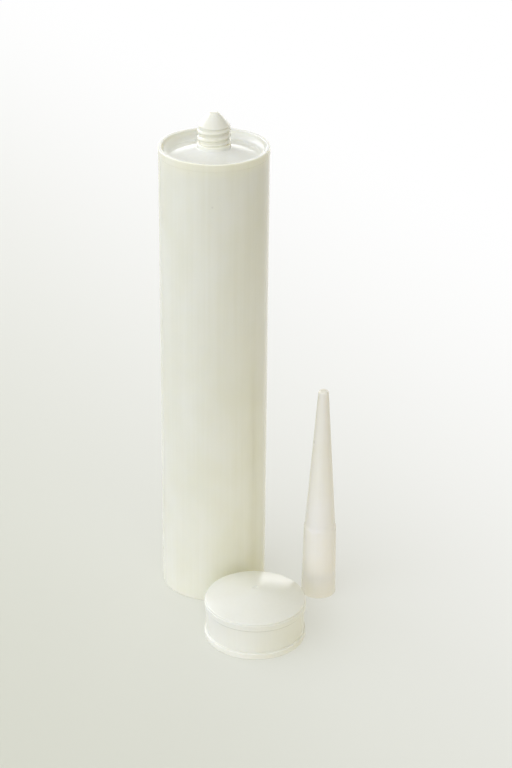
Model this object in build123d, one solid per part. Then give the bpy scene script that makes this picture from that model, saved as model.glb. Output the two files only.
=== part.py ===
from build123d import *
import os
from math import cos, radians, sin, tan

# An empty sealant cartridge with its nozzle and its plunger standing beside it.
# Millimetres, +Z up. The origin is the centre of the barrel's open end, which rests on the table.

# Barrel: a thin tube, open below, closed above by a sunk conical head inside a raised rim
barrel_diameter = 50.0
barrel_height = 222.8
barrel_wall = 1.2
mouth_chamfer = 0.5

# Rim: a low band outside the top of the tube, and the lip that stands above the head
rim_wall = 1.6
rim_band_height = 3.4
rim_band_step = 0.15
rim_chamfer = 0.35

# Head: a shallow cone that rises from the foot of the rim to the neck
head_depth = 4.5
head_slope = 13.5
head_wall = 1.6
head_corner_chamfer = 1.1

# Neck: a collar, a threaded core and a closed conical tip that is cut off before use
collar_step = 0.3
collar_height = 2.2
neck_core_diameter = 13.8
neck_length = 8.3
neck_wall = 1.5
tip_height = 5.6
tip_flat_diameter = 4.2
tip_shoulder_chamfer = 0.6
tip_wall = 1.3

# Thread shared by the neck and the nozzle, right-handed
thread_pitch = 3.0
thread_depth = 0.6
thread_flank_angle = 25.0
thread_runout = 1.2
thread_relief = 0.1
thread_start = -110.0
thread_clearance = 0.15
thread_sink = 0.2

# Nozzle: a slightly flared threaded skirt, a sloped shoulder and a long cone, closed until its tip is cut
nozzle_length = 108.6
nozzle_socket_wall = 0.65
nozzle_skirt_length = 37.7
nozzle_skirt_taper = 0.55
nozzle_shoulder_step = 0.45
nozzle_tip_diameter = 4.8
nozzle_tip_chamfer = 0.8
nozzle_tip_wall = 1.6
nozzle_cone_wall = 1.1
socket_depth = 12.5
socket_lead_in = 0.25

# Plunger: a hollow cup with two sealing lips and a stepped-in crown that rises with the head's own slope
plunger_clearance = 0.1
plunger_height = 18.9
lower_lip_height = 2.8
upper_lip_height = 2.6
lip_depth = 0.9
lip_flank_height = 0.6
crown_step = 0.4
crown_edge_height = 0.9
plunger_wall = 1.5
plunger_foot_chamfer = 0.4
gate_dimple_diameter = 2.4
gate_dimple_depth = 0.4

# Where the loose pieces stand: bearing from the barrel's axis, and the clear space to the barrel
nozzle_bearing = -17.7
nozzle_gap = 19.6
plunger_bearing = -70.9
plunger_gap = 6.2

# Sizes that follow from the ones above
barrel_radius = barrel_diameter / 2
bore_radius = barrel_radius - barrel_wall
rim_radius = barrel_radius - rim_wall
core_radius = neck_core_diameter / 2
crest_radius = core_radius + thread_depth
collar_radius = crest_radius + collar_step
head_rise = tan(radians(head_slope))
head_foot = barrel_height - head_depth
collar_foot = head_foot + (rim_radius - collar_radius) * head_rise
thread_foot = collar_foot + collar_height
tip_foot = thread_foot + neck_length
tip_top = tip_foot + tip_height
tip_lean = (core_radius - tip_flat_diameter / 2) / tip_height

socket_radius = crest_radius + thread_clearance
socket_crest_radius = core_radius + thread_clearance
nozzle_radius = socket_radius + nozzle_socket_wall
plunger_radius = bore_radius - plunger_clearance
waist_radius = plunger_radius - lip_depth
crown_radius = plunger_radius - crown_step


def turned(*corners):
    """Solid of revolution about Z, from the (radius, height) corners of half its section, in order."""
    return revolve(Plane.XZ * make_face(Polyline(*corners, close=True)), Axis.Z)


def thread_ridge(root_radius, crest, length):
    """Ridge of trapezoid section wound about Z from height 0: ruled faces between four helices.

    It rises from root_radius, which is sunk into the wall that carries it, to the crest radius.
    """
    lean = tan(radians(thread_flank_angle))
    crest_half = (thread_pitch / 2 - thread_clearance - lean * thread_depth) / 2
    root_half = crest_half + lean * (thread_depth + thread_sink)
    corners = [(root_radius, -root_half), (crest, -crest_half), (crest, crest_half), (root_radius, root_half)]
    rails = [Pos(Z=height) * Helix(thread_pitch, length, radius) for radius, height in corners]
    flanks = [Face.make_surface_from_curves(rails[i - 1], rails[i]) for i in range(len(rails))]
    ends = [Face(Wire.make_polygon([rail @ end for rail in rails])) for end in (0, 1)]
    return Solid(Shell(flanks + ends))


def barrel_outside():
    """The barrel's outer form as a solid: tube, rim, head, collar, core and tip."""
    band_radius = barrel_radius + rim_band_step
    band_foot = barrel_height - rim_band_height
    return turned(
        (0, 0),
        (barrel_radius, 0),
        (barrel_radius, band_foot - rim_band_step),
        (band_radius, band_foot),
        (band_radius, barrel_height - rim_chamfer),
        (band_radius - rim_chamfer, barrel_height),
        (rim_radius + rim_chamfer, barrel_height),
        (rim_radius, barrel_height - rim_chamfer),
        (rim_radius, head_foot + head_corner_chamfer),
        (rim_radius - head_corner_chamfer, head_foot + head_corner_chamfer * head_rise),
        (collar_radius, collar_foot),
        (collar_radius, thread_foot),
        (core_radius, thread_foot),
        (core_radius, tip_foot - tip_shoulder_chamfer),
        (core_radius - tip_shoulder_chamfer * tip_lean, tip_foot + tip_shoulder_chamfer),
        (tip_flat_diameter / 2, tip_top),
        (0, tip_top),
    )


def barrel_cavity():
    """The hollow inside the barrel: mouth, bore, underside of the head and the blind neck."""
    neck_radius = core_radius - neck_wall
    under_head = head_foot - head_wall / cos(radians(head_slope))
    tip_step = tip_wall * (1 + tip_lean**2) ** 0.5
    blind_top = tip_top - tip_wall
    blind_foot = tip_foot + (core_radius - tip_step - neck_radius) / tip_lean
    blind_radius = core_radius - tip_step - (blind_top - tip_foot) * tip_lean
    return turned(
        (0, 0),
        (bore_radius + mouth_chamfer, 0),
        (bore_radius, mouth_chamfer),
        (bore_radius, under_head - (bore_radius - rim_radius) * head_rise),
        (neck_radius, under_head + (rim_radius - neck_radius) * head_rise),
        (neck_radius, blind_foot),
        (blind_radius, blind_top),
        (0, blind_top),
    )


def neck_thread():
    """The neck's thread: a ridge on the core that tapers off above the collar and below the tip."""
    ridge = Pos(Z=thread_foot) * Rot(Z=thread_start) * thread_ridge(
        core_radius - thread_sink, crest_radius, neck_length)
    root = core_radius - thread_sink
    foot = thread_foot + thread_relief
    top = tip_foot - tip_shoulder_chamfer - thread_relief
    return ridge & turned(
        (0, foot),
        (root, foot),
        (crest_radius + thread_sink, foot + thread_runout),
        (crest_radius + thread_sink, top - thread_runout),
        (root, top),
        (0, top),
    )


def make_barrel():
    return barrel_outside() + neck_thread() - barrel_cavity()


def nozzle_thread():
    """The socket's thread: a ridge on its wall, relieved at the mouth, that runs in the neck's groove."""
    ridge = thread_ridge(socket_radius + thread_sink, socket_crest_radius, socket_depth - 2 * thread_pitch)
    return Pos(Z=thread_pitch) * ridge - turned(
        (0, 0),
        (socket_radius + thread_runout, 0),
        (socket_crest_radius - thread_runout, 2 * thread_pitch),
        (0, 2 * thread_pitch),
    )


def make_nozzle():
    skirt_top_radius = nozzle_radius - nozzle_skirt_taper
    cone_radius = skirt_top_radius - nozzle_shoulder_step
    tip_radius = nozzle_tip_diameter / 2
    outside = turned(
        (0, 0),
        (nozzle_radius, 0),
        (skirt_top_radius, nozzle_skirt_length - nozzle_shoulder_step),
        (cone_radius, nozzle_skirt_length),
        (tip_radius, nozzle_length - nozzle_tip_chamfer),
        (tip_radius - nozzle_tip_chamfer, nozzle_length),
        (0, nozzle_length),
    )
    passage_radius = cone_radius - nozzle_cone_wall
    blind_top = nozzle_length - nozzle_tip_wall
    inside = turned(
        (0, 0),
        (socket_radius + socket_lead_in, 0),
        (socket_radius, socket_lead_in),
        (socket_radius, socket_depth),
        (passage_radius, socket_depth + socket_radius - passage_radius),
        (passage_radius, nozzle_skirt_length),
        (tip_radius - nozzle_cone_wall, blind_top),
        (0, blind_top),
    )
    return outside - inside + nozzle_thread()


def make_plunger():
    upper_lip_top = plunger_height - crown_edge_height
    upper_lip_foot = upper_lip_top - upper_lip_height
    dimple_radius = gate_dimple_diameter / 2
    crown_top = plunger_height + (crown_radius - dimple_radius) * head_rise
    outside = turned(
        (0, 0),
        (plunger_radius - plunger_foot_chamfer, 0),
        (plunger_radius, plunger_foot_chamfer),
        (plunger_radius, lower_lip_height),
        (waist_radius, lower_lip_height + lip_flank_height),
        (waist_radius, upper_lip_foot - lip_flank_height),
        (plunger_radius, upper_lip_foot),
        (plunger_radius, upper_lip_top),
        (crown_radius, upper_lip_top),
        (crown_radius, plunger_height),
        (dimple_radius, crown_top),
        (dimple_radius, crown_top - gate_dimple_depth),
        (0, crown_top - gate_dimple_depth),
    )
    cup_radius = waist_radius - plunger_wall
    crown_rise = (crown_radius - cup_radius) * head_rise
    cup_top = plunger_height + crown_rise - plunger_wall / cos(radians(head_slope))
    cup = turned(
        (0, 0),
        (cup_radius, 0),
        (cup_radius, cup_top),
        (0, cup_top + cup_radius * head_rise),
    )
    return outside - cup


def standing(piece, bearing, distance):
    """The piece moved from the origin to its place on the table, at a distance from the barrel's axis."""
    return Pos(distance * cos(radians(bearing)), distance * sin(radians(bearing))) * piece


def main():
    pieces = {
        "barrel": make_barrel(),
        "nozzle": standing(make_nozzle(), nozzle_bearing, barrel_radius + nozzle_gap + nozzle_radius),
        "plunger": standing(make_plunger(), plunger_bearing, barrel_radius + plunger_gap + plunger_radius),
    }
    os.makedirs("parts", exist_ok=True)
    for name, piece in pieces.items():
        export_step(piece, f"parts/{name}.step")


main()
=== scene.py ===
from math import ceil, cos, degrees, pi, radians, sin, tan

import bpy
from mathutils import Matrix, Vector


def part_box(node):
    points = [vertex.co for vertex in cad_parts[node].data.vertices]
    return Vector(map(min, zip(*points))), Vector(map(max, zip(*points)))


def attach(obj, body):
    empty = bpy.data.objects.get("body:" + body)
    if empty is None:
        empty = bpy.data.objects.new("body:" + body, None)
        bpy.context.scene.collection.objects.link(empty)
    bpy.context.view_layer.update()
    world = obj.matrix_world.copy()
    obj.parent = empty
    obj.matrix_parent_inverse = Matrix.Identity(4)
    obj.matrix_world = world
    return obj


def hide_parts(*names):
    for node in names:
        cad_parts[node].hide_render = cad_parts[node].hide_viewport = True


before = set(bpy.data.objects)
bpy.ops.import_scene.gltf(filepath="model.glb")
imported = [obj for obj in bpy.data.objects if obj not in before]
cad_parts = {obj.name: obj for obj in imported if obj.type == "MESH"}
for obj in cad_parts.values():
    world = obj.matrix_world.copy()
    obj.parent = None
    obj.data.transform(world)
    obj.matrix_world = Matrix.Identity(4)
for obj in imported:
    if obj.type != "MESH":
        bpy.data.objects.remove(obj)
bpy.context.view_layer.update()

# Looks of an empty sealant cartridge: the barrel, its screw-on nozzle and its plunger, on a pale table.
# The three mouldings are turned here with rounded edges and a smooth thread, in the places the frame gives.

MM = 0.001

# Barrel, in millimetres as all the sizes of the mouldings are
BARREL_RADIUS = 25.0
BARREL_HEIGHT = 222.8
BORE_RADIUS = 23.8
MOUTH_CHAMFER = 0.5
RIM_BAND_STEP = 0.12
RIM_BAND_HEIGHT = 3.4
RIM_RADIUS = 23.4
HEAD_DEPTH = 4.5
HEAD_SLOPE = radians(13.5)
HEAD_RISE = tan(HEAD_SLOPE)
HEAD_WALL = 1.6
BARREL_FOOT_ROUNDING = 0.25
MOUTH_ROUNDING = 0.1
BAND_ROUNDING = 0.1
RIM_ROUNDING = 0.5
HEAD_CORNER_ROUNDING = 2.8
BORE_TOP_ROUNDING = 0.8

# Neck of the barrel, with its collar and its closed tip
CORE_RADIUS = 6.9
COLLAR_RADIUS = 7.65
NECK_LENGTH = 8.3
NECK_BORE_RADIUS = 5.4
TIP_HEIGHT = 5.6
TIP_BASE_STEP = 0.3
TIP_RADIUS = 2.1
TIP_WALL = 1.3
TIP_ROUNDING = 1.6
TIP_BASE_ROUNDING = 0.7
CORE_TOP_ROUNDING = 0.2
CORE_FOOT_ROUNDING = 0.1
COLLAR_TOP_ROUNDING = 0.6
COLLAR_FOOT_ROUNDING = 0.5
NECK_BORE_FOOT_ROUNDING = 0.6
NECK_BORE_TOP_ROUNDING = 0.4
NECK_END_ROUNDING = 0.3

# Thread of the neck and of the nozzle's socket; its start is in degrees
THREAD_PITCH = 3.0
THREAD_DEPTH = 0.6
THREAD_RUNOUT = 1.2
THREAD_START = -110.0
THREAD_CREST_HALF = 0.32
THREAD_FLANK = 0.68

# Nozzle
NOZZLE_LENGTH = 108.6
NOZZLE_RADIUS = 8.3
SKIRT_LENGTH = 37.7
SKIRT_TOP_RADIUS = 7.75
SHOULDER_STEP = 0.45
SHOULDER_HEIGHT = 1.8
NOZZLE_TIP_RADIUS = 2.4
NOZZLE_TIP_WALL = 1.6
CONE_WALL = 1.1
SOCKET_RADIUS = 7.65
SOCKET_DEPTH = 12.5
SOCKET_THREAD_RELIEF = 2.2
NOZZLE_TIP_ROUNDING = 1.3
SHOULDER_ROUNDING = 2.0
NOZZLE_FOOT_ROUNDING = 0.15
SOCKET_MOUTH_ROUNDING = 0.2
SOCKET_TOP_ROUNDING = 0.3
PASSAGE_ROUNDING = 0.5
NOZZLE_END_ROUNDING = 0.4

# Plunger
PLUNGER_RADIUS = 23.7
PLUNGER_HEIGHT = 18.9
CROWN_RADIUS = 23.3
CROWN_EDGE_HEIGHT = 0.9
CROWN_BULGE = 0.7
LOWER_LIP_HEIGHT = 2.8
UPPER_LIP_HEIGHT = 2.6
UPPER_LIP_FLANK = 0.6
LOWER_LIP_FLANK = 0.3
WAIST_TOP_RADIUS = 23.15
WAIST_FOOT_RADIUS = 22.8
CUP_RADIUS = 21.3
PLUNGER_WALL = 1.5
DIMPLE_RADIUS = 1.2
DIMPLE_DEPTH = 0.4
DIMPLE_FLOOR_ROUNDING = 0.2
DIMPLE_EDGE_ROUNDING = 0.15
CROWN_EDGE_ROUNDING = 0.5
CROWN_FOOT_ROUNDING = 0.15
UPPER_LIP_ROUNDING = 0.3
WAIST_TOP_ROUNDING = 0.4
WAIST_FOOT_ROUNDING = 0.3
LOWER_LIP_ROUNDING = 0.25
PLUNGER_FOOT_ROUNDING = 0.3
CUP_ROUNDING = 1.0

# Heights that follow from them
HEAD_FOOT = BARREL_HEIGHT - HEAD_DEPTH
COLLAR_FOOT = HEAD_FOOT + (RIM_RADIUS - COLLAR_RADIUS) * HEAD_RISE
TIP_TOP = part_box("barrel")[1].z / MM
TIP_FOOT = TIP_TOP - TIP_HEIGHT
THREAD_FOOT = TIP_FOOT - NECK_LENGTH
UPPER_LIP_TOP = PLUNGER_HEIGHT - CROWN_EDGE_HEIGHT
UPPER_LIP_FOOT = UPPER_LIP_TOP - UPPER_LIP_HEIGHT
CROWN_TOP = PLUNGER_HEIGHT + (CROWN_RADIUS - DIMPLE_RADIUS) * HEAD_RISE

# How finely the mouldings are divided: arcs by degrees, straight runs and the rows of a thread by length
ARC_STEP = 12.0
FEWEST_ARC_STEPS = 3
LONGEST_RUN = 6.0
THREAD_ROW = 0.12
CROWN_STEPS = 16
BARREL_SEGMENTS = 256
NOZZLE_SEGMENTS = 128
PLUNGER_SEGMENTS = 224

# A corner with no rounding, what counts as one place, and how far large faces lead the shading
SHARP = 0
NEAR = 0.001
LARGE_FACES_LEAD = 100


class Wire:
    """A socket in a node tree: arithmetic adds Math nodes, and add() puts in any other node."""

    def __init__(self, tree, socket=None):
        self.tree = tree
        self.socket = socket

    def add(self, kind, settings=None, inputs=None, output=0):
        """A new node of that kind: its settings are set first, then its sockets get values or links.

        The setting called captured is the (type, name) of a value that the node keeps.
        """
        node = self.tree.nodes.new(kind)
        for name, value in (settings or {}).items():
            if name == "captured":
                node.capture_items.new(*value)
            else:
                setattr(node, name, value)
        for name, value in (inputs or {}).items():
            if isinstance(value, Wire):
                self.tree.links.new(value.socket, node.inputs[name])
            else:
                node.inputs[name].default_value = value
        return Wire(self.tree, node.outputs[output]) if node.outputs else None

    def beside(self, output):
        """Another output of the node that this socket belongs to."""
        return Wire(self.tree, self.socket.node.outputs[output])

    def maths(self, operation, *terms):
        return self.add("ShaderNodeMath", {"operation": operation}, dict(enumerate(terms)))

    def vector_maths(self, operation, other, output):
        return self.add("ShaderNodeVectorMath", {"operation": operation}, {0: self, 1: other}, output)

    def distance_to(self, point):
        return self.vector_maths("DISTANCE", point, "Value")

    def along(self, direction):
        """How far this vector reaches in a direction."""
        return self.vector_maths("DOT_PRODUCT", direction, "Value")

    def axes(self):
        """The X, Y and Z of this vector."""
        across = self.add("ShaderNodeSeparateXYZ", None, {0: self}, "X")
        return across, across.beside("Y"), across.beside("Z")

    def smooth_step(self, low, high):
        """0 below low and 1 above high, with an eased change between them."""
        return self.add("ShaderNodeMapRange", {"interpolation_type": "SMOOTHSTEP"},
                        {"Value": self, "From Min": low, "From Max": high})

    def __add__(self, other):
        return self.maths("ADD", self, other)

    def __sub__(self, other):
        return self.maths("SUBTRACT", self, other)

    def __rsub__(self, other):
        return self.maths("SUBTRACT", other, self)

    def __mul__(self, other):
        return self.maths("MULTIPLY", self, other)

    def __truediv__(self, other):
        return self.maths("DIVIDE", self, other)

    def __rtruediv__(self, other):
        return self.maths("DIVIDE", other, self)

    __radd__ = __add__
    __rmul__ = __mul__


# Outlines: half sections as lists of (radius, height, rounding) corners

def rounded_outline(corners):
    """Points along an outline, with an arc at each corner that isn't sharp."""
    spots = [Vector(corner[:2]) for corner in corners]
    points = []
    for i, (_, _, rounding) in enumerate(corners):
        here = spots[i]
        if rounding == SHARP:
            points.append(here)
            continue
        back = (spots[i - 1] - here).normalized()
        ahead = (spots[i + 1] - here).normalized()
        half = back.angle(ahead) / 2
        centre = here + (back + ahead).normalized() * rounding / sin(half)
        first = here + back * rounding / tan(half) - centre
        last = here + ahead * rounding / tan(half) - centre
        steps = max(FEWEST_ARC_STEPS, ceil(degrees(pi - 2 * half) / ARC_STEP))
        points += [centre + first.slerp(last, k / steps) * rounding for k in range(steps + 1)]
    return points


def on_wall(spot, radius, low, high):
    return abs(spot.x - radius) < NEAR and low < spot.y < high


def divided(points, wall):
    """The outline with its straight runs cut up, more finely on the wall that carries a thread.

    Wall is None, or the (radius, low, high) of that wall. Gives the points, and for each whether it is
    threaded, as 1 or 0.
    """
    fine = []
    marks = []
    for here, after in zip(points, points[1:]):
        threaded = wall is not None and on_wall(here, *wall) and on_wall(after, *wall)
        steps = max(1, ceil((after - here).length / (THREAD_ROW if threaded else LONGEST_RUN)))
        fine += [here.lerp(after, k / steps) for k in range(steps)]
        marks += [float(threaded)] * steps
    return fine + points[-1:], marks + [0.0]


def barrel_outline():
    """From the tip over the outside to the foot, then up the bore to the blind end of the neck."""
    band_radius = BARREL_RADIUS + RIM_BAND_STEP
    band_foot = BARREL_HEIGHT - RIM_BAND_HEIGHT
    lean = (CORE_RADIUS - TIP_RADIUS) / TIP_HEIGHT
    slant = TIP_WALL * (1 + lean**2) ** 0.5
    blind_top = TIP_TOP - TIP_WALL
    blind_foot = TIP_FOOT + (CORE_RADIUS - slant - NECK_BORE_RADIUS) / lean
    under_head = HEAD_FOOT - HEAD_WALL / cos(HEAD_SLOPE)
    bore_top = under_head - (BORE_RADIUS - RIM_RADIUS) * HEAD_RISE
    neck_bore_foot = under_head + (RIM_RADIUS - NECK_BORE_RADIUS) * HEAD_RISE
    return [
        (0, TIP_TOP, SHARP),
        (TIP_RADIUS, TIP_TOP, TIP_ROUNDING),
        (CORE_RADIUS + TIP_BASE_STEP, TIP_FOOT, TIP_BASE_ROUNDING),
        (CORE_RADIUS, TIP_FOOT - 2 * TIP_BASE_STEP, CORE_TOP_ROUNDING),
        (CORE_RADIUS, THREAD_FOOT, CORE_FOOT_ROUNDING),
        (COLLAR_RADIUS, THREAD_FOOT, COLLAR_TOP_ROUNDING),
        (COLLAR_RADIUS, COLLAR_FOOT, COLLAR_FOOT_ROUNDING),
        (RIM_RADIUS, HEAD_FOOT, HEAD_CORNER_ROUNDING),
        (RIM_RADIUS, BARREL_HEIGHT, RIM_ROUNDING),
        (band_radius, BARREL_HEIGHT, RIM_ROUNDING),
        (band_radius, band_foot, BAND_ROUNDING),
        (BARREL_RADIUS, band_foot - RIM_BAND_STEP, BAND_ROUNDING),
        (BARREL_RADIUS, 0, BARREL_FOOT_ROUNDING),
        (BORE_RADIUS + MOUTH_CHAMFER, 0, MOUTH_ROUNDING),
        (BORE_RADIUS, MOUTH_CHAMFER, MOUTH_ROUNDING),
        (BORE_RADIUS, bore_top, BORE_TOP_ROUNDING),
        (NECK_BORE_RADIUS, neck_bore_foot, NECK_BORE_FOOT_ROUNDING),
        (NECK_BORE_RADIUS, blind_foot, NECK_BORE_TOP_ROUNDING),
        (CORE_RADIUS - slant - (blind_top - TIP_FOOT) * lean, blind_top, NECK_END_ROUNDING),
        (0, blind_top, SHARP),
    ]


def nozzle_outline():
    """From the closed tip over the outside to the foot, then up the socket and the passage."""
    cone_radius = SKIRT_TOP_RADIUS - SHOULDER_STEP
    passage_radius = cone_radius - CONE_WALL
    blind_top = NOZZLE_LENGTH - NOZZLE_TIP_WALL
    return [
        (0, NOZZLE_LENGTH, SHARP),
        (NOZZLE_TIP_RADIUS, NOZZLE_LENGTH, NOZZLE_TIP_ROUNDING),
        (cone_radius, SKIRT_LENGTH, SHOULDER_ROUNDING),
        (SKIRT_TOP_RADIUS, SKIRT_LENGTH - SHOULDER_HEIGHT, SHOULDER_ROUNDING),
        (NOZZLE_RADIUS, 0, NOZZLE_FOOT_ROUNDING),
        (SOCKET_RADIUS, 0, SOCKET_MOUTH_ROUNDING),
        (SOCKET_RADIUS, SOCKET_DEPTH, SOCKET_TOP_ROUNDING),
        (passage_radius, SOCKET_DEPTH + SOCKET_RADIUS - passage_radius, SOCKET_TOP_ROUNDING),
        (passage_radius, SKIRT_LENGTH, PASSAGE_ROUNDING),
        (NOZZLE_TIP_RADIUS - CONE_WALL, blind_top, NOZZLE_END_ROUNDING),
        (0, blind_top, SHARP),
    ]


def crown_curve():
    """Inner points of the crown, from dimple to edge: a cone of the head's slope, slightly domed."""
    points = []
    for k in range(1, CROWN_STEPS):
        share = k / CROWN_STEPS
        radius = DIMPLE_RADIUS + (CROWN_RADIUS - DIMPLE_RADIUS) * share
        cone = CROWN_TOP + (PLUNGER_HEIGHT - CROWN_TOP) * share
        points.append((radius, cone + CROWN_BULGE * 4 * share * (1 - share), SHARP))
    return points


def plunger_outline():
    """From the gate dimple over the crown and the lips to the foot, then up the cup to its ceiling."""
    ceiling = PLUNGER_HEIGHT + (CROWN_RADIUS - CUP_RADIUS) * HEAD_RISE - PLUNGER_WALL / cos(HEAD_SLOPE)
    return [
        (0, CROWN_TOP - DIMPLE_DEPTH, SHARP),
        (DIMPLE_RADIUS, CROWN_TOP - DIMPLE_DEPTH, DIMPLE_FLOOR_ROUNDING),
        (DIMPLE_RADIUS, CROWN_TOP, DIMPLE_EDGE_ROUNDING),
        *crown_curve(),
        (CROWN_RADIUS, PLUNGER_HEIGHT, CROWN_EDGE_ROUNDING),
        (CROWN_RADIUS, UPPER_LIP_TOP, CROWN_FOOT_ROUNDING),
        (PLUNGER_RADIUS, UPPER_LIP_TOP, UPPER_LIP_ROUNDING),
        (PLUNGER_RADIUS, UPPER_LIP_FOOT, UPPER_LIP_ROUNDING),
        (WAIST_TOP_RADIUS, UPPER_LIP_FOOT - UPPER_LIP_FLANK, WAIST_TOP_ROUNDING),
        (WAIST_FOOT_RADIUS, LOWER_LIP_HEIGHT + LOWER_LIP_FLANK, WAIST_FOOT_ROUNDING),
        (PLUNGER_RADIUS, LOWER_LIP_HEIGHT, LOWER_LIP_ROUNDING),
        (PLUNGER_RADIUS, 0, PLUNGER_FOOT_ROUNDING),
        (CUP_RADIUS, 0, PLUNGER_FOOT_ROUNDING),
        (CUP_RADIUS, ceiling, CUP_ROUNDING),
        (0, ceiling + CUP_RADIUS * HEAD_RISE, SHARP),
    ]


# Turned mouldings: one tree revolves an outline and raises its thread

def group_socket(tree, name, kind, direction="INPUT"):
    tree.interface.new_socket(name, in_out=direction, socket_type=kind)


def turned_moulding_tree():
    """Revolves a half section about Z, raises the thread where it is marked, and places the piece."""
    tree = bpy.data.node_groups.new("turned_moulding", "GeometryNodeTree")
    group_socket(tree, "Half Section", "NodeSocketGeometry")
    group_socket(tree, "Segments", "NodeSocketInt")
    for name in ("Pitch", "Depth", "Crest Half", "Flank", "Foot", "Top", "Runout", "Start"):
        group_socket(tree, name, "NodeSocketFloat")
    group_socket(tree, "Place", "NodeSocketVector")
    group_socket(tree, "Finish", "NodeSocketMaterial")
    group_socket(tree, "Moulding", "NodeSocketGeometry", "OUTPUT")
    wire = Wire(tree)
    size = wire.add("NodeGroupInput").beside

    def kept(geometry, kind, value):
        """A value that each curve point keeps through the revolving, as (geometry, value)."""
        geometry = wire.add("GeometryNodeCaptureAttribute", {"captured": (kind, "Kept")},
                            {0: geometry, 1: value})
        return geometry, geometry.beside(1)

    section = wire.add("GeometryNodeMeshToCurve", None, {"Mesh": size("Half Section")})
    section, spot = kept(section, "VECTOR", wire.add("GeometryNodeInputPosition"))
    circle = wire.add("GeometryNodeCurvePrimitiveCircle", None, {"Resolution": size("Segments")})
    circle, turn = kept(circle, "FLOAT", wire.add("GeometryNodeInputIndex") / size("Segments"))
    skin = wire.add("GeometryNodeCurveToMesh", None, {"Curve": circle, "Profile Curve": section})

    radius, _, height = spot.axes()
    threaded = wire.add("GeometryNodeInputNamedAttribute", {"data_type": "FLOAT"}, {"Name": "thread"})
    lead = (height - size("Foot")) / size("Pitch") - turn + size("Start")
    from_crest = wire.maths("ABSOLUTE", wire.maths("FRACT", lead + 0.5) - 0.5) * size("Pitch")
    ridge = 1 - from_crest.smooth_step(size("Crest Half"), size("Crest Half") + size("Flank"))
    rise = height.smooth_step(size("Foot"), size("Foot") + size("Runout"))
    fall = 1 - height.smooth_step(size("Top") - size("Runout"), size("Top"))
    reach = radius + threaded * size("Depth") * ridge * rise * fall

    angle = turn * (2 * pi)
    place_x, place_y, place_z = size("Place").axes()
    position = wire.add("ShaderNodeCombineXYZ", None, {
        "X": reach * wire.maths("COSINE", angle) + place_x,
        "Y": reach * wire.maths("SINE", angle) + place_y,
        "Z": height + place_z,
    })
    skin = wire.add("GeometryNodeSetPosition", None, {"Geometry": skin, "Position": position})
    skin = wire.add("GeometryNodeMergeByDistance", None, {"Geometry": skin, "Distance": NEAR * MM})
    skin = wire.add("GeometryNodeSetShadeSmooth", None, {"Geometry": skin})
    skin = wire.add("GeometryNodeRealizeInstances", None, {"Geometry": skin})
    skin = wire.add("GeometryNodeSetMaterial", None, {"Geometry": skin, "Material": size("Finish")})
    wire.add("NodeGroupOutput", None, {"Moulding": skin})
    return tree


MOULDING_TREE = turned_moulding_tree()


def set_input(modifier, name, value):
    """Sets a modifier's named input by its socket's identifier."""
    for item in modifier.node_group.interface.items_tree:
        if item.name == name and item.in_out == "INPUT":
            modifier[item.identifier] = value


def half_section(name, corners, wall):
    """Edges of a half section in the XZ plane, in metres, with the thread marked on its points."""
    points, marks = divided(rounded_outline(corners), wall)
    edges = [(i, i + 1) for i in range(len(points) - 1)]
    mesh = bpy.data.meshes.new(name)
    mesh.from_pydata([(p.x * MM, 0, p.y * MM) for p in points], edges, [])
    mesh.attributes.new("thread", "FLOAT", "POINT").data.foreach_set("value", marks)
    section = bpy.data.objects.new(name + "_half_section", mesh)
    bpy.context.scene.collection.objects.link(section)
    return section


def plain_mesh(carrier):
    """The mesh that an object's modifiers make, as a mesh of its own; the modifiers are removed."""
    graph = bpy.context.evaluated_depsgraph_get()
    mesh = bpy.data.meshes.new_from_object(carrier.evaluated_get(graph), depsgraph=graph)
    carrier.modifiers.clear()
    return mesh


def turned_moulding(name, corners, segments, finish, place=Vector(), thread=None):
    """A plain mesh object of a turned moulding. Thread has the tree's thread inputs, and its wall."""
    thread = dict(thread or {})
    section = half_section(name, corners, thread.pop("Wall", None))
    turning = section.modifiers.new("turning", "NODES")
    turning.node_group = MOULDING_TREE
    sizes = {"Pitch": THREAD_PITCH, "Crest Half": THREAD_CREST_HALF, "Flank": THREAD_FLANK,
             "Runout": THREAD_RUNOUT, "Depth": 0.0, "Foot": 0.0, "Top": 1.0, **thread}
    for size, value in sizes.items():
        set_input(turning, size, value if size == "Start" else value * MM)
    set_input(turning, "Segments", segments)
    set_input(turning, "Place", place)
    set_input(turning, "Finish", finish)
    section.modifiers.new("flat_runs_stay_flat", "WEIGHTED_NORMAL").weight = LARGE_FACES_LEAD
    moulding = bpy.data.objects.new(name + "_moulding", plain_mesh(section))
    bpy.context.scene.collection.objects.link(moulding)
    bpy.data.objects.remove(section)
    return moulding


# Finish: satin polyethylene as it comes from the mould

# Patterns: how many of their grains go to a metre, and how detailed they are
CLOUD_GRAIN = (45, 45, 30)
STREAK_GRAIN = (700, 700, 12)
FINE_GRAIN = (2600, 2600, 2600)
SPECK_GRAIN = 95.0
SOFT_DETAIL = 2.0
FINE_DETAIL = 3.0

# Mottling: the cloud's share of the tone, and what cloud and streak add to the dullness
CLOUD_SHARE = 0.7
TONE_SPREAD = (0.3, 0.7)
CLOUD_DULLING = 0.05
STREAK_DULLING = 0.03

# Relief of the skin, with its depth in millimetres: fine grain, and streaks for the rest
RELIEF_STRENGTH = 0.06
RELIEF_DEPTH = 0.1
RELIEF_GRAIN_SHARE = 0.6

# Milky body of the plastic: how deep light goes, in millimetres, and what share red, green and blue reach
PLASTIC_IOR = 1.5
MILKINESS = 0.4
MILK_DEPTH = 3.0
MILK_REACH = (1.0, 0.9, 0.7)

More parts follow.
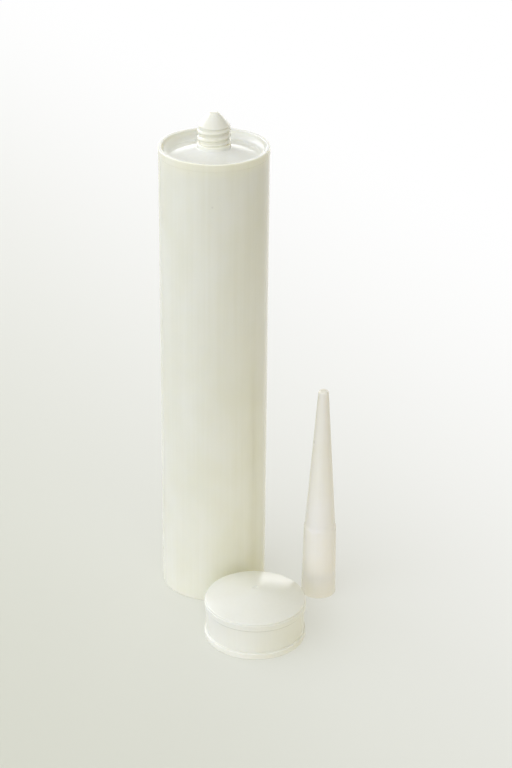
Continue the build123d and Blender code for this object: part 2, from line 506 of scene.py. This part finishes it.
# Zones with painted light and shade that set them apart from the rest of their piece: painted cool light on
# the head, which is also glossier, and painted shade on the neck and the skirt; the widths of their edges
# are in millimetres
# Painted cool light from above on the head and the inside of the rim
HEAD_PAINTED_COOL_LIGHT = (0.958, 0.973, 1.09, 1)
HEAD_GLOSS = 0.4
HEAD_EDGE = 1.0
RIM_EDGE = 0.6
# Painted shade on the neck
NECK_PAINTED_SHADE = (0.95, 0.95, 0.985, 1)
# Painted shade on the nozzle's skirt
SKIRT_PAINTED_SHADE = (0.945, 0.95, 0.985, 1)
SKIRT_EDGE = 28.0
SAME_GLOSS = 0.0

# Specks and marks; each mark has its place on the piece and its reach, in millimetres, and its strength
DIRT_AND_NUB_SHADE_COLOUR = (0.45, 0.40, 0.30, 1)
SPECK_CHOICE = (0.86, 0.9)
SPECK_SPREAD = (0.010, 0.022)
SPECK_STRENGTH = 0.35
MARK_CORE = 0.3
# The barrel's first mark is a speck; its second, on the head, is the painted shade of a small nub
BARREL_SPECK_AND_NUB_SHADE = [((-1.4, -24.96, 203.0), 0.7, 0.2), ((2.6, -21.2, 219.0), 0.8, 0.3)]
NOZZLE_MARKS = [((-4.0, -1.2, 82.2), 1.3, 0.4)]


def new_material(name):
    """An empty node material, and a wire into its tree."""
    material = bpy.data.materials.new(name)
    material.use_nodes = True
    material.node_tree.nodes.clear()
    return material, Wire(material.node_tree)


def mix_colour(wire, factor, first, second, blend="MIX"):
    """Two colours mixed. The colours of this node are its sockets 6 and 7, and its output 2."""
    return wire.add("ShaderNodeMix", {"data_type": "RGBA", "blend_type": blend},
                    {0: factor, 6: first, 7: second}, 2)


def stretched_noise(wire, spot, grain, detail):
    """Noise with its own grain along X, Y and Z."""
    stretched = spot.vector_maths("MULTIPLY", grain, "Vector")
    return wire.add("ShaderNodeTexNoise", None, {"Vector": stretched, "Scale": 1.0, "Detail": detail})


def specks(wire, spot):
    """Small dots in the middle of a few cells, which are chosen by the cells' own random colours."""
    cell = wire.add("ShaderNodeTexVoronoi", None, {"Vector": spot, "Scale": SPECK_GRAIN}, "Distance")
    chance = wire.add("ShaderNodeSeparateColor", None, {0: cell.beside("Color")})
    return chance.smooth_step(*SPECK_CHOICE) * (1 - cell.smooth_step(*SPECK_SPREAD))


def barrel_zones(wire, spot):
    """The head, glossier and whitened with painted cool light from above, with the inside and the top of the
    rim, and the neck, deepened with painted shade.
    """
    across, along, height = spot.axes()
    radius = wire.maths("SQRT", across * across + along * along)
    inside = 1 - radius.smooth_step((BARREL_RADIUS - RIM_EDGE) * MM, BARREL_RADIUS * MM)
    neck = height.smooth_step(BARREL_HEIGHT * MM, (BARREL_HEIGHT + HEAD_EDGE) * MM)
    head = height.smooth_step((HEAD_FOOT - HEAD_EDGE) * MM, HEAD_FOOT * MM) * inside * (1 - neck)
    return [(head, HEAD_PAINTED_COOL_LIGHT, HEAD_GLOSS), (neck, NECK_PAINTED_SHADE, SAME_GLOSS)]


def nozzle_zones(wire, spot):
    """The skirt, deepened with painted shade, which passes gently into the cone."""
    _, _, height = spot.axes()
    cone = height.smooth_step((SKIRT_LENGTH - SHOULDER_HEIGHT) * MM, (SKIRT_LENGTH + SKIRT_EDGE) * MM)
    return [(1 - cone, SKIRT_PAINTED_SHADE, SAME_GLOSS)]


def polyethylene(name, place, pale, deep, dullness, zones=None, marks=()):
    """Satin polyethylene: soft mottling, faint flow streaks along the draw, fine grain and a few specks.

    Zones is a function that gives (mask, tint, gloss) for each zone of the piece, where it has any; the
    tints are painted light and painted shade. Marks are its few larger blemishes, and on the barrel one of
    them is the painted shade of a small nub.
    """
    material, wire = new_material(name)
    spot = wire.add("ShaderNodeTexCoord", None, None, "Object")
    spot = wire.add("ShaderNodeMapping", None, {"Vector": spot, "Location": -place})
    cloud = stretched_noise(wire, spot, CLOUD_GRAIN, SOFT_DETAIL)
    streak = stretched_noise(wire, spot, STREAK_GRAIN, FINE_DETAIL)
    grain = stretched_noise(wire, spot, FINE_GRAIN, FINE_DETAIL)

    tone = cloud * CLOUD_SHARE + streak * (1 - CLOUD_SHARE)
    colour = mix_colour(wire, tone.smooth_step(*TONE_SPREAD), pale, deep)
    roughness = dullness + cloud * CLOUD_DULLING + streak * STREAK_DULLING
    for mask, painted_light_tint, gloss in zones(wire, spot) if zones else ():
        # The zones' tints multiply painted light and painted shade into the colour
        colour = mix_colour(wire, mask, colour, painted_light_tint, "MULTIPLY")
        roughness = roughness * (1 - mask * gloss)

    # Specks and marks, and on the barrel the painted shade of a small nub, are mixed towards one dark colour
    dirt_and_nub_shade = specks(wire, spot) * SPECK_STRENGTH
    for centre, reach, strength in marks:
        away = spot.distance_to(Vector(centre) * MM)
        dirt_and_nub_shade = dirt_and_nub_shade + (1 - away.smooth_step(MARK_CORE * reach * MM, reach * MM)) * strength
    colour = mix_colour(wire, dirt_and_nub_shade, colour, DIRT_AND_NUB_SHADE_COLOUR)

    relief = grain * RELIEF_GRAIN_SHARE + streak * (1 - RELIEF_GRAIN_SHARE)
    surface = wire.add("ShaderNodeBump", None, {
        "Strength": RELIEF_STRENGTH, "Distance": RELIEF_DEPTH * MM, "Height": relief,
    })
    skin = wire.add("ShaderNodeBsdfPrincipled", None, {
        "Base Color": colour, "Roughness": roughness, "Normal": surface, "IOR": PLASTIC_IOR,
        "Subsurface Weight": MILKINESS, "Subsurface Scale": MILK_DEPTH * MM, "Subsurface Radius": MILK_REACH,
    })
    wire.add("ShaderNodeOutputMaterial", None, {"Surface": skin})
    return material


# Table and room look one way where they are seen, and light the pieces in another

WHITE = (1.0, 1.0, 1.0, 1)


def lines_of_sight(wire):
    """Two masks: what is seen straight, and what is seen straight, in gloss or through a clear wall."""
    straight = wire.add("ShaderNodeLightPath", None, None, "Is Camera Ray")
    either = wire.maths("MAXIMUM", straight, straight.beside("Is Glossy Ray"))
    return straight, wire.maths("MAXIMUM", either, straight.beside("Is Transmission Ray"))


# Table, in metres: a pale sheet that fades to white towards the back and the right

TABLE_SIZE = 12.0
TABLE_DROP = 0.05 * MM
TABLE_COLOUR = (0.65, 0.66, 0.52, 1)
TABLE_ROUGHNESS = 0.45
TABLE_SHEEN = (1.25, 1.25, 1.25, 1)
FADE_DIRECTION = (0.939, 0.556, 0)
FADE_START = -0.289
FADE_END = 0.472

# What it throws back on the pieces: little, but for a pool of light on the right
BOUNCE_COLOUR = (0.20, 0.20, 0.18, 1)
POOL_COLOUR = (1.22, 1.18, 1.02, 1)
POOL_CENTRE = (0.165, -0.085, 0)
POOL_INNER = 0.04
POOL_OUTER = 0.26


def table_material():
    """A sheet that fades to white where it is seen. To the pieces it is dim, but for the pool of light."""
    material, wire = new_material("pale_table")
    spot = wire.add("ShaderNodeTexCoord", None, None, "Object")
    straight, seen = lines_of_sight(wire)
    fade = spot.along(FADE_DIRECTION).smooth_step(FADE_START, FADE_END)
    pool = 1 - spot.distance_to(POOL_CENTRE).smooth_step(POOL_INNER, POOL_OUTER)
    colour = mix_colour(wire, seen, BOUNCE_COLOUR, TABLE_COLOUR)
    sheet = wire.add("ShaderNodeBsdfPrincipled", None, {"Base Color": colour, "Roughness": TABLE_ROUGHNESS})
    glow = mix_colour(wire, seen, POOL_COLOUR, mix_colour(wire, straight, TABLE_SHEEN, WHITE))
    haze = wire.add("ShaderNodeEmission", None, {"Color": glow})
    mixed = wire.add("ShaderNodeMixShader", None, {0: pool + (fade - pool) * seen, 1: sheet, 2: haze})
    wire.add("ShaderNodeOutputMaterial", None, {"Surface": mixed})
    return material


def lay_table():
    half = TABLE_SIZE / 2
    corners = [(-half, -half, 0), (half, -half, 0), (half, half, 0), (-half, half, 0)]
    mesh = bpy.data.meshes.new("table")
    mesh.from_pydata(corners, [], [(0, 1, 2, 3)])
    mesh.materials.append(table_material())
    table = bpy.data.objects.new("table", mesh)
    table.location.z = -TABLE_DROP
    bpy.context.scene.collection.objects.link(table)


# Light: a cool bright side on the left, a dim warm one on the right, and a soft patch overhead

BRIGHT_SIDE = Vector((-0.80, -0.58, -0.10)).normalized()
SIDE_LOW = -0.5
SIDE_HIGH = 0.85
COOL_SIDE = (1.82, 1.87, 2.25, 1)
WARM_SIDE = (0.17, 0.09, 0.0, 1)
OVERHEAD_SIDE = Vector((0.38, 0.30, 0.87)).normalized()
OVERHEAD_LOW = 0.45
OVERHEAD_HIGH = 0.95
OVERHEAD = (0.83, 0.84, 0.83, 1)

# What shows in the gloss: a bright backdrop low in the room, and a window at the back on the left
BACKDROP_GLOW = (2.6, 2.6, 2.65, 1)
BACKDROP_LOW = 0.15
BACKDROP_HIGH = 0.45
WINDOW_SIDE = Vector((-0.66, 0.55, 0.46)).normalized()
WINDOW_EDGE = 0.90
WINDOW_CORE = 0.95
WINDOW_GLOW = (3.2, 3.25, 3.4, 1)

# The window's own soft lamp, in metres and watts
LAMP_PLACE = Vector((-1.035, 0.80, 0.95))
LAMP_TARGET = Vector((0, 0, 0.2))
LAMP_SIZE = 0.5
LAMP_POWER = 0.7


def room_light(wire, direction):
    """What falls on the pieces from each direction."""
    facing = direction.along(BRIGHT_SIDE).smooth_step(SIDE_LOW, SIDE_HIGH)
    sides = mix_colour(wire, facing, WARM_SIDE, COOL_SIDE)
    above = direction.along(OVERHEAD_SIDE).smooth_step(OVERHEAD_LOW, OVERHEAD_HIGH)
    return mix_colour(wire, above, sides, OVERHEAD)


def room_gloss(wire, direction):
    """What the pieces' gloss shows in each direction."""
    _, _, height = direction.axes()
    backdrop = mix_colour(wire, height.smooth_step(BACKDROP_LOW, BACKDROP_HIGH), BACKDROP_GLOW, OVERHEAD)
    window = direction.along(WINDOW_SIDE).smooth_step(WINDOW_EDGE, WINDOW_CORE)
    return mix_colour(wire, window, backdrop, WINDOW_GLOW)


def light_room():
    world = bpy.data.worlds.new("room")
    bpy.context.scene.world = world
    world.use_nodes = True
    world.node_tree.nodes.clear()
    wire = Wire(world.node_tree)
    direction = wire.add("ShaderNodeTexCoord", None, None, "Generated")
    straight, seen = lines_of_sight(wire)
    view = mix_colour(wire, straight, room_gloss(wire, direction), WHITE)
    falling = wire.add("ShaderNodeBackground", None, {"Color": room_light(wire, direction)})
    showing = wire.add("ShaderNodeBackground", None, {"Color": view})
    mixed = wire.add("ShaderNodeMixShader", None, {0: seen, 1: falling, 2: showing})
    wire.add("ShaderNodeOutputWorld", None, {"Surface": mixed})


def hang_window_lamp():
    lamp = bpy.data.lights.new("left_window", "AREA")
    lamp.size = LAMP_SIZE
    lamp.energy = LAMP_POWER
    hung = bpy.data.objects.new("left_window", lamp)
    hung.location = LAMP_PLACE
    hung.rotation_euler = (LAMP_TARGET - LAMP_PLACE).to_track_quat("-Z", "Y").to_euler()
    bpy.context.scene.collection.objects.link(hung)


# Camera: where the photograph was taken from, in millimetres and degrees, fitted to the pieces' circles

FOCAL_PIXELS = 2018.24
IMAGE_HEIGHT = 768
SENSOR = 36.0
CAMERA_PLACE = (-21.70, -848.965, 527.94)
CAMERA_PITCH = 26.501
CAMERA_ROLL = 0.621
CAMERA_YAW = 2.797


def set_camera():
    """A camera that looks down by its pitch and to the right by its yaw, and is rolled a little."""
    pitch, roll, yaw = (radians(angle) for angle in (CAMERA_PITCH, CAMERA_ROLL, CAMERA_YAW))
    forward = Vector((sin(yaw) * cos(pitch), cos(yaw) * cos(pitch), -sin(pitch)))
    level = forward.cross(Vector((0, 0, 1))).normalized()
    upright = level.cross(forward)
    right = level * cos(roll) + upright * sin(roll)
    up = upright * cos(roll) - level * sin(roll)
    lens = bpy.data.cameras.new("camera")
    lens.sensor_width = SENSOR
    lens.lens = FOCAL_PIXELS * SENSOR / IMAGE_HEIGHT
    camera = bpy.data.objects.new("camera", lens)
    place = Matrix.Translation(Vector(CAMERA_PLACE) * MM)
    camera.matrix_world = place @ Matrix((right, up, -forward)).transposed().to_4x4()
    bpy.context.scene.collection.objects.link(camera)
    bpy.context.scene.camera = camera


# The pieces, with the pale and the deep tone of their mottling and their dullness

BARREL_PALE = (0.86, 0.85, 0.655, 1)
BARREL_DEEP = (0.82, 0.805, 0.59, 1)
BARREL_DULLNESS = 0.09
NOZZLE_PALE = (0.835, 0.805, 0.66, 1)
NOZZLE_DEEP = (0.805, 0.77, 0.61, 1)
NOZZLE_DULLNESS = 0.2
PLUNGER_PALE = (0.765, 0.765, 0.64, 1)
PLUNGER_DEEP = (0.74, 0.74, 0.605, 1)
PLUNGER_DULLNESS = 0.19


def middle_of(node):
    """Centre of a node's footprint, on the table."""
    low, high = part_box(node)
    return Vector(((low.x + high.x) / 2, (low.y + high.y) / 2, 0))


def put_in_frame(piece, node):
    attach(piece, "root")
    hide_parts(node)


def make_barrel():
    finish = polyethylene("barrel_polyethylene", Vector(), BARREL_PALE, BARREL_DEEP, BARREL_DULLNESS,
                          barrel_zones, BARREL_SPECK_AND_NUB_SHADE)
    thread = {"Wall": (CORE_RADIUS, THREAD_FOOT, TIP_FOOT), "Depth": THREAD_DEPTH,
              "Foot": THREAD_FOOT, "Top": TIP_FOOT, "Start": THREAD_START / 360}
    barrel = turned_moulding("barrel", barrel_outline(), BARREL_SEGMENTS, finish, thread=thread)
    put_in_frame(barrel, "barrel")


def make_nozzle():
    place = middle_of("nozzle")
    finish = polyethylene("nozzle_polyethylene", place, NOZZLE_PALE, NOZZLE_DEEP, NOZZLE_DULLNESS,
                          nozzle_zones, NOZZLE_MARKS)
    thread = {"Wall": (SOCKET_RADIUS, 0, SOCKET_DEPTH), "Depth": -THREAD_DEPTH,
              "Foot": SOCKET_THREAD_RELIEF, "Top": SOCKET_DEPTH - SOCKET_THREAD_RELIEF}
    nozzle = turned_moulding("nozzle", nozzle_outline(), NOZZLE_SEGMENTS, finish, place, thread)
    put_in_frame(nozzle, "nozzle")


def make_plunger():
    place = middle_of("plunger")
    finish = polyethylene("plunger_polyethylene", place, PLUNGER_PALE, PLUNGER_DEEP, PLUNGER_DULLNESS)
    plunger = turned_moulding("plunger", plunger_outline(), PLUNGER_SEGMENTS, finish, place)
    put_in_frame(plunger, "plunger")


bpy.context.scene.view_settings.view_transform = "Standard"
make_barrel()
make_nozzle()
make_plunger()
lay_table()
light_room()
hang_window_lamp()
set_camera()
